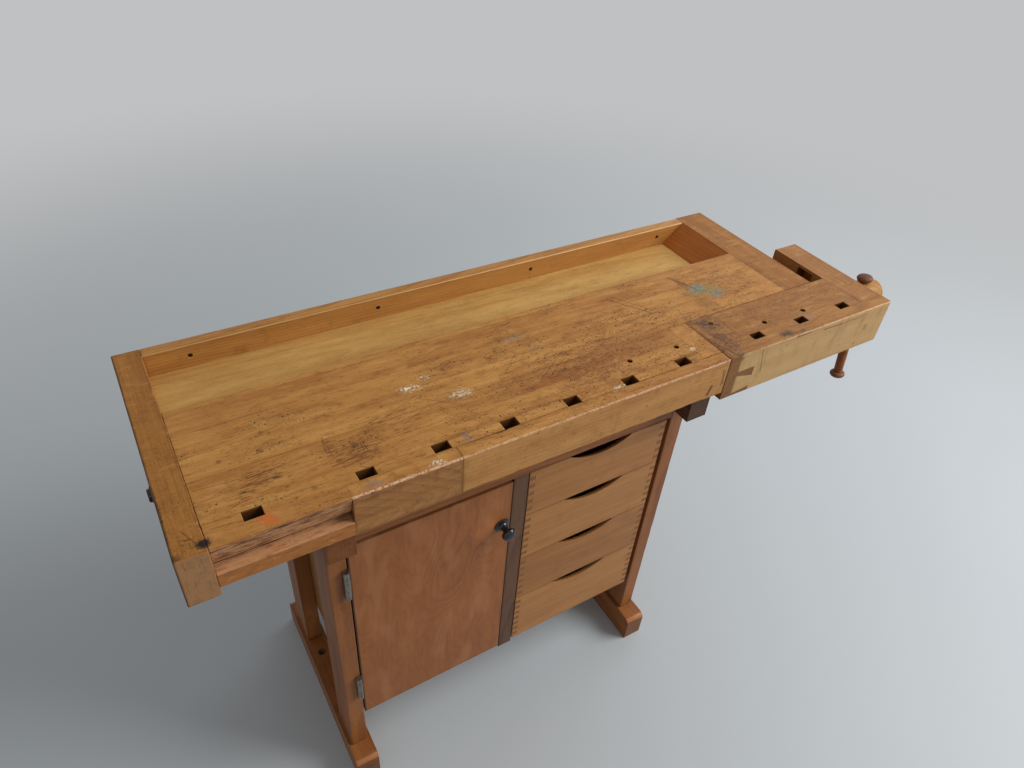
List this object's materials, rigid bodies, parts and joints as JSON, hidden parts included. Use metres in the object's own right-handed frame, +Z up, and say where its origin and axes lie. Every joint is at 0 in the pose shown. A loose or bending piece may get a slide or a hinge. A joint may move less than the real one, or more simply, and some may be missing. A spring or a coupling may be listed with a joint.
{
  "type": "joiner's workbench with tail vise",
  "caption": "Small wooden workbench with dog holes, tool tray, tail vise, sledge-foot trestles, cupboard and drawers.",
  "frame": {"origin": "on the floor under the middle of the bounding box", "axes": "+X along the bench towards the tail vise, +Y from the front to the back, +Z up"},
  "size_m": [1.366, 0.436, 0.8042],
  "materials": {
    "beech_worn": "worn oil",
    "beech_light": "satin lacquer",
    "pine_orange": "satin lacquer",
    "dark_jaw": "worn oil",
    "turned_wood": "satin lacquer",
    "handle_wood": "satin lacquer",
    "beech_red": "satin lacquer",
    "dark_hardwood": "satin lacquer",
    "plywood": "satin lacquer",
    "drawer_wood": "satin lacquer",
    "steel": "dull zinc",
    "black_plastic": "gloss"
  },
  "bodies": {
    "bench": {"back_board": "pine_orange", "back_board_of_top": "beech_worn", "back_board_screws": "steel", "bench_jaw_block": "beech_worn", "cabinet_back": "plywood", "cabinet_divider": "dark_hardwood", "cabinet_side_left": "plywood", "cabinet_side_right": "plywood", "cabinet_top": "plywood", "cupboard_floor": "plywood", "dog_core_blocks": "beech_worn", "drawer_runners": "drawer_wood", "end_cap_bolts": "steel", "frame_screws": "steel", "front_board": "beech_worn", "front_strip_left": "pine_orange", "front_strip_right": "beech_light", "hinge_frame_leaves": "steel", "hinge_pins": "steel", "left_bearer": "beech_red", "left_end_cap": "beech_worn", "left_foot": "beech_red", "left_front_upright": "beech_red", "left_rear_upright": "beech_red", "notch_rail": "beech_worn", "right_bearer": "dark_hardwood", "right_end_cap": "beech_worn", "right_foot": "beech_red", "right_front_upright": "beech_red", "right_rear_upright": "beech_red", "tray_floor": "beech_worn", "tray_ramp": "beech_worn", "vise_nut_block": "beech_worn", "vise_seat_strip": "beech_worn"},
    "vise": {"vise_front_board": "beech_light", "vise_dog_blocks": "beech_worn", "vise_top_board": "beech_worn", "vise_jaw_block": "dark_jaw", "vise_end_block": "beech_worn", "screw_garter": "beech_worn", "vise_runner": "beech_worn", "vise_guide_bar": "beech_worn"},
    "vise_screw": {"vise_screw": "turned_wood"},
    "vise_handle": {"handle_bar": "handle_wood", "handle_knobs": "handle_wood"},
    "door": {"door_panel": "plywood", "door_knob": "black_plastic", "hinge_door_leaves": "steel"},
    "drawer_1": {"drawer_1_front": "drawer_wood", "drawer_1_box": "drawer_wood", "drawer_1_bottom": "drawer_wood"},
    "drawer_2": {"drawer_2_front": "drawer_wood", "drawer_2_box": "drawer_wood", "drawer_2_bottom": "drawer_wood"},
    "drawer_3": {"drawer_3_front": "drawer_wood", "drawer_3_box": "drawer_wood", "drawer_3_bottom": "drawer_wood"},
    "drawer_4": {"drawer_4_front": "drawer_wood", "drawer_4_box": "drawer_wood", "drawer_4_bottom": "drawer_wood"}
  },
  "joints": [
    {"name": "vise_slide", "type": "slide", "parent": "bench", "child": "vise", "axis": [1, 0, 0], "range_m": [0, 0.13]},
    {"name": "vise_screw_turn", "type": "hinge", "parent": "vise", "child": "vise_screw", "pos_m": [0.615, -0.138, 0.76], "axis": [1, 0, 0], "range_deg": [0, 5849.5]},
    {"name": "handle_slide", "type": "slide", "parent": "vise_screw", "child": "vise_handle", "axis": [0, 0.1184, 0.993], "range_m": [0, 0.152]},
    {"name": "door_swing", "type": "hinge", "parent": "bench", "child": "door", "pos_m": [-0.4681, -0.1742, 0.5655], "axis": [0, 0, -1], "range_deg": [0, 170]},
    {"name": "drawer_1_slide", "type": "slide", "parent": "bench", "child": "drawer_1", "axis": [0, -1, 0], "range_m": [0, 0.25]},
    {"name": "drawer_2_slide", "type": "slide", "parent": "bench", "child": "drawer_2", "axis": [0, -1, 0], "range_m": [0, 0.25]},
    {"name": "drawer_3_slide", "type": "slide", "parent": "bench", "child": "drawer_3", "axis": [0, -1, 0], "range_m": [0, 0.25]},
    {"name": "drawer_4_slide", "type": "slide", "parent": "bench", "child": "drawer_4", "axis": [0, -1, 0], "range_m": [0, 0.25]}
  ],
  "couplings": [
    {"joint": "vise_slide", "follows": "vise_screw_turn", "m_per_rad": 0.0012732}
  ]
}
